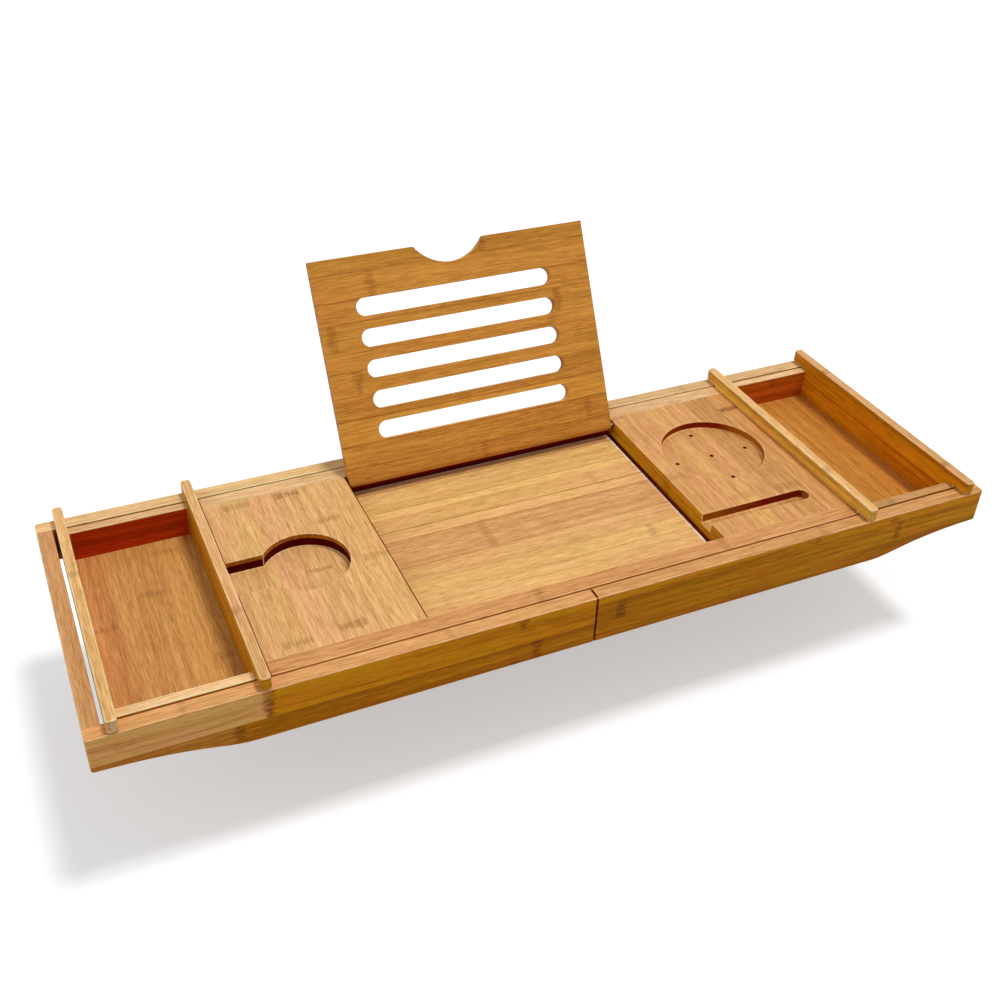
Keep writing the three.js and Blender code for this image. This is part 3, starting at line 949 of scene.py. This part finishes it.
def slot_cutter(name, left, right, middle, width, base, top):
    """A cutter for a slot along X: a squared block whose upright edges are rounded until its ends are
    half circles."""
    low = Vector((left, middle - width / 2, base))
    high = Vector((right, middle + width / 2, top))
    piece = block(name, low, high)
    # The walls it leaves take the routed walls' painted shade unless a caller finishes them otherwise
    round_uprights(piece, width / 2 - NEAR, SLOT_STEPS, SHADED_ROUTED)
    finish_faces(piece, 2, FACE, SHADED_ROUTED)
    return piece


def in_planes(*sides):
    """Tells whether both ends of an edge lie in one of some planes, each given by axis and place."""
    def inside(edge):
        return any(
            all(abs(corner.co[axis] - place) < NEAR for corner in edge.verts) for axis, place in sides
        )

    return inside


def crisp_edges(low, high, outer):
    """The edges of a panel that are left crisp: the glued front and back, the underside and the edge
    beside a tray."""
    return in_planes((1, low.y), (1, high.y), (2, low.z), (0, outer))


def glass_panel():
    """The left panel: a round seat for the foot of a glass, with a channel to slide its stem in. The walls
    carry painted shade except in the top ply."""
    node = "glass_holder_panel"
    low, high = box(node)
    piece = block(node + "_wood", low, high)
    # The edge along the recess carries painted shade too, as a thin dark line
    round_edges(
        piece,
        lambda co: abs(co.x - high.x) < NEAR and abs(co.z - high.z) < NEAR,
        RECESS_ROUND,
        EASE_STEPS,
        SHADED_ROUTED,
    )
    centre = (low + high) / 2 - Vector((GLASS_SHIFT, 0, 0))
    floor, top = high.z - GLASS_DEPTH, high.z + OVERRUN
    middle = Vector((centre.x, centre.y, (floor + top) / 2))
    seat = rod("seat", middle, GLASS_RADIUS, top - floor, "Z", ROUND_STEPS)
    stem = block(
        "stem",
        Vector((low.x - OVERRUN, centre.y - STEM_WIDTH / 2, floor)),
        Vector((centre.x, centre.y + STEM_WIDTH / 2, top)),
    )
    finish_faces(stem, 2, FACE, SHADED_ROUTED)
    cut(piece, seat, stem, pin_hole("hinge_pin_left"))
    slice_at(piece, "Z", (high.z - TOP_PLY,))
    # Below the top ply the seat walls keep their painted shade; the top ply takes the panel's side tone
    for face in piece.data.polygons:
        in_seat = face.center.x < high.x - SEAT_CLEAR
        if face.material_index == SHADED_ROUTED and in_seat and face.center.z > high.z - TOP_PLY:
            face.material_index = SIDE
    ease(piece, glued=crisp_edges(low, high, low.x))
    dress(piece, node, "YXZ", "YXZ")
    hand_over(piece, node, "middle")


def soap_panel():
    """The right panel: a round soap seat with five drain holes, and a groove to stand a phone in."""
    node = "soap_and_phone_panel"
    low, high = box(node)
    piece = block(node + "_wood", low, high)
    centre = (low + high) / 2 + Vector((0, SOAP_SHIFT, 0))
    radius = (high.x - low.x) / 2 - SOAP_MARGIN
    floor, top = high.z - SOAP_DEPTH, high.z + OVERRUN
    middle = Vector((centre.x, centre.y, (floor + top) / 2))
    seat = rod("seat", middle, radius, top - floor, "Z", ROUND_STEPS)
    groove = slot_cutter(
        "groove",
        low.x - GROOVE_WIDTH,
        high.x - GROOVE_STOP,
        low.y + GROOVE_INSET + GROOVE_WIDTH / 2,
        GROOVE_WIDTH,
        high.z - GROOVE_DEPTH,
        top,
    )
    cut(piece, seat, groove, pin_hole("hinge_pin_right"))
    ease(piece, glued=crisp_edges(low, high, high.x))
    reach = radius - DRAIN_INSET
    for x, y in ((0, 0), (-reach, 0), (reach, 0), (0, -reach), (0, reach)):
        place = Vector((centre.x + x, centre.y + y, centre.z))
        cut(piece, rod("drain", place, DRAIN_RADIUS, 2 * (high.z - low.z), "Z", HOLE_STEPS))
    dress(piece, node, "YXZ", "YXZ")
    hand_over(piece, node, "middle")


def plain_board(node, body, order, side_order, width=EASE):
    """A planed board with eased edges."""
    low, high = box(node)
    piece = block(node + "_wood", low, high)
    ease(piece, width)
    dress(piece, node, order, side_order)
    hand_over(piece, node, body)


def centre_board():
    """The sunken board, with a painted highlight as a light rim along its right and back edges."""
    node = "centre_board"
    low, high = box(node)
    piece = block(node + "_wood", low, high)
    slice_at(piece, "X", (high.x - HIGHLIGHT_RIM,))
    slice_at(piece, "Y", (high.y - HIGHLIGHT_RIM,))
    for face in piece.data.polygons:
        if face.center.x > high.x - HIGHLIGHT_RIM or face.center.y > high.y - HIGHLIGHT_RIM:
            face.material_index = EDGE
    ease(piece)
    dress(piece, node, "XYZ", "XZY")
    hand_over(piece, node, "middle")


# Trays

def tray_end_board(side, end):
    """An end board whose top runs out into two ears, which lie on the outer rails."""
    node = f"{side}_tray_end_board_{end}"
    low, high = box(node)
    wall_low, _ = box(f"{side}_tray_wall_front")
    _, wall_high = box(f"{side}_tray_wall_back")
    _, rail_high = box(f"{side}_rail_front")
    seat = rail_high.z + EAR_GAP
    piece = block(
        node + "_wood",
        Vector((low.x, wall_low.y, low.z)),
        Vector((high.x, wall_high.y, high.z)),
    )
    slice_at(piece, "Z", (seat,))
    for y, reach in ((wall_low.y, low.y - wall_low.y), (wall_high.y, high.y - wall_high.y)):
        edit(piece, "FACE")
        select(piece, "faces", lambda co: abs(co.y - y) < NEAR and co.z > seat - NEAR)
        bpy.ops.mesh.extrude_region_move(TRANSFORM_OT_translate={"value": (0, reach, 0)})
        leave()
    for y in (low.y, high.y):
        round_uprights(piece, EAR_ROUND, EAR_STEPS, SIDE, lambda co: abs(co.y - y) < NEAR)
    ease(piece, TRAY_EASE)
    dress(piece, node, "YXZ", "YZX")
    hand_over(piece, node, f"{side}_tray")


def tray(side):
    """A loose tray: two end boards, two walls and a floor."""
    for end in ("left", "right"):
        tray_end_board(side, end)
    for place in ("front", "back"):
        plain_board(f"{side}_tray_wall_{place}", f"{side}_tray", "XYZ", "XZY")
    plain_board(f"{side}_tray_floor", f"{side}_tray", "YXZ", "YZX", JOINT_EASE)


# Reading stand

def reading_stand():
    """A thin board with a finger notch and five slots, round at its foot, leaning on its hinge."""
    node = "reading_stand_panel"
    low, high = box(node)
    pin_low, pin_high = box("hinge_pin_left")
    hinge = (pin_low + pin_high) / 2
    half = STAND_THICKNESS / 2
    reach = (high.z - hinge.z - half * math.sin(STAND_TILT)) / math.cos(STAND_TILT)
    left, right = low.x, high.x
    piece = block(node + "_wood", Vector((left, -half, -half)), Vector((right, half, reach)))
    finish_faces(piece, 1, FACE, SIDE)
    round_edges(piece, lambda co: abs(co.z + half) < NEAR, half - NEAR, FOOT_STEPS, FACE)

    middle = (left + right) / 2 + NOTCH_SHIFT
    radius = (NOTCH_WIDTH**2 / 4 + NOTCH_DEPTH**2) / (2 * NOTCH_DEPTH)
    notch = rod("notch", Vector((0, 0, 0)), radius, 4 * STAND_THICKNESS, "Z", ROUND_STEPS)
    stand_up(notch, Vector((middle, 0, reach - NOTCH_DEPTH + radius)))
    cutters = [notch]
    for number in range(SLOT_COUNT):
        height = SLOT_FOOT_MARGIN - half + SLOT_HEIGHT / 2 + number * SLOT_PITCH
        slot = slot_cutter(
            "slot",
            left + SLOT_SIDE_MARGIN + SLOT_SHIFT,
            right - SLOT_SIDE_MARGIN + SLOT_SHIFT,
            0,
            SLOT_HEIGHT,
            -2 * STAND_THICKNESS,
            2 * STAND_THICKNESS,
        )
        stand_up(slot, Vector((0, 0, height)))
        cutters.append(slot)
    for cutter in cutters:
        for face in cutter.data.polygons:
            face.material_index = SIDE
    cut(piece, *cutters)
    for pin in ("hinge_pin_left", "hinge_pin_right"):
        hole = pin_hole(pin)
        hole.location = -Vector((0, hinge.y, hinge.z))
        settle(hole)
        cut(piece, hole)
    ease(piece, STAND_EASE)
    piece.rotation_euler = (-STAND_TILT, 0, 0)
    piece.location = (0, hinge.y, hinge.z)
    settle(piece)
    turned = Matrix.Rotation(STAND_TILT, 3, "X") @ Vector((0, hinge.y, hinge.z))
    span = (
        Vector((left, turned.y - half, turned.z - half)),
        Vector((right, turned.y + half, turned.z + reach)),
    )
    dress(piece, node, "XZY", "XZY", STAND_TILT, span)
    hand_over(piece, node, "stand")


def stand_up(cutter, place):
    """Turns a flat cutter upright, facing the front, and moves it to its place."""
    cutter.rotation_euler = (math.pi / 2, 0, 0)
    cutter.location = place
    settle(cutter)


def hinge_pin(side):
    """A steel pin with its ends chamfered."""
    node = f"hinge_pin_{side}"
    low, high = box(node)
    radius = (high.z - low.z) / 2
    piece = rod(node + "_steel", (low + high) / 2, radius, high.x - low.x, "X", PIN_STEPS)
    for face in piece.data.polygons:
        face.material_index = 0
    edit(piece, "EDGE")
    bpy.ops.mesh.edges_select_sharp(sharpness=SHARP)
    bevel(PIN_CHAMFER, PIN_CHAMFER_STEPS, 0)
    piece.data.materials.clear()
    piece.data.materials.append(steel(f"drawn_stainless_steel_{side}"))
    hand_over(piece, node, "stand")


# Studio

FLOOR_DROP = 94 * MM
FLOOR_SIZE = 30
PAPER_GLOW = 0.42
CAMERA_PLACE = Vector((-0.34184, -0.696666, 0.591594))
CAMERA_VIEW = Vector((0.34729, 0.73174, -0.58646))
CAMERA_ROLL = math.radians(2.06)
CAMERA_LENS = 43.47
SENSOR = 36
NEAREST_SEEN = 10 * MM
ROOM_LIGHT = 0.43
LAMP_LIGHT = 1.68
LAMP_SPREAD = math.radians(12)
LAMP_SIDE = Vector((0.28, -0.08, 1))
FILL_LIGHT = 0.5
FILL_SPREAD = math.radians(60)
FILL_SIDE = Vector((-1, -0.1, 0.45))


def camera():
    """The view that the photograph was taken from."""
    data = bpy.data.cameras.new("photo_view")
    data.lens = CAMERA_LENS
    data.sensor_width = SENSOR
    data.clip_start = NEAREST_SEEN
    view = bpy.data.objects.new("photo_view", data)
    bpy.context.scene.collection.objects.link(view)
    turn = CAMERA_VIEW.to_track_quat("-Z", "Y").to_matrix() @ Matrix.Rotation(CAMERA_ROLL, 3, "Z")
    view.matrix_world = Matrix.Translation(CAMERA_PLACE) @ turn.to_4x4()
    bpy.context.scene.camera = view


def seen_directly(tree):
    """1 for what the camera sees, straight or in gloss or glass, and 0 for the light on the object."""
    path = add(tree, "ShaderNodeLightPath")
    seen = path.outputs["Is Camera Ray"]
    for ray in ("Is Glossy Ray", "Is Transmission Ray"):
        seen = add(tree, "ShaderNodeMath", {0: seen, 1: path.outputs[ray]}, operation="MAXIMUM")
    return seen


def floor():
    """A white paper floor well below the caddy, as if the caddy spanned a bath."""
    low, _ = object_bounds()
    bpy.ops.object.select_all(action="DESELECT")
    bpy.ops.mesh.primitive_plane_add(size=FLOOR_SIZE, location=(0, 0, low.z - FLOOR_DROP))
    sheet = bpy.context.active_object
    sheet.name = "floor"
    material, tree = new_material("matt_white_paper_floor")
    dim = add(tree, "ShaderNodeBsdfDiffuse", {"Color": DIM_PAPER})
    paper = add(tree, "ShaderNodeBsdfDiffuse", {"Color": SHOWN_PAPER})
    glow = add(tree, "ShaderNodeEmission", {"Color": WHITE, "Strength": PAPER_GLOW})
    bright = add(tree, "ShaderNodeAddShader", {0: paper, 1: glow})
    mixed = add(tree, "ShaderNodeMixShader", {0: seen_directly(tree), 1: dim, 2: bright})
    add(tree, "ShaderNodeOutputMaterial", {"Surface": mixed})
    sheet.data.materials.append(material)
    sheet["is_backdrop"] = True


def lights():
    """A plain white room, a large soft lamp overhead and a weak wide one at the left."""
    world = bpy.data.worlds.new("white_room")
    world.use_nodes = True
    tree = world.node_tree
    tree.nodes.clear()
    strength = add(tree, "ShaderNodeMapRange", {0: seen_directly(tree), 3: ROOM_LIGHT, 4: 1.0})
    background = add(tree, "ShaderNodeBackground", {"Color": WHITE, "Strength": strength})
    add(tree, "ShaderNodeOutputWorld", {"Surface": background})
    bpy.context.scene.world = world
    lamps = (
        ("softbox", LAMP_LIGHT, LAMP_SPREAD, LAMP_SIDE),
        ("fill_from_the_left", FILL_LIGHT, FILL_SPREAD, FILL_SIDE),
    )
    for name, light, spread, side in lamps:
        data = bpy.data.lights.new(name, "SUN")
        data.energy = light
        data.angle = spread
        lamp = bpy.data.objects.new(name, data)
        bpy.context.scene.collection.objects.link(lamp)
        lamp.rotation_euler = side.to_track_quat("Z", "Y").to_euler()


for frame_side in ("left", "right"):
    for rail_place in ("front", "back"):
        outer_rail(frame_side, rail_place)
    end_rail(frame_side)
    tray(frame_side)
    plain_board(
        f"board_batten_{frame_side}", "middle", "YXZ", "YZX", JOINT_EASE
    )
    hinge_pin(frame_side)
for rail_place in ("front", "back"):
    inner_rail(rail_place)
glass_panel()
soap_panel()
centre_board()
reading_stand()

camera()
lights()
bpy.context.scene.view_settings.view_transform = "Standard"
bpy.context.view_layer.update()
floor()
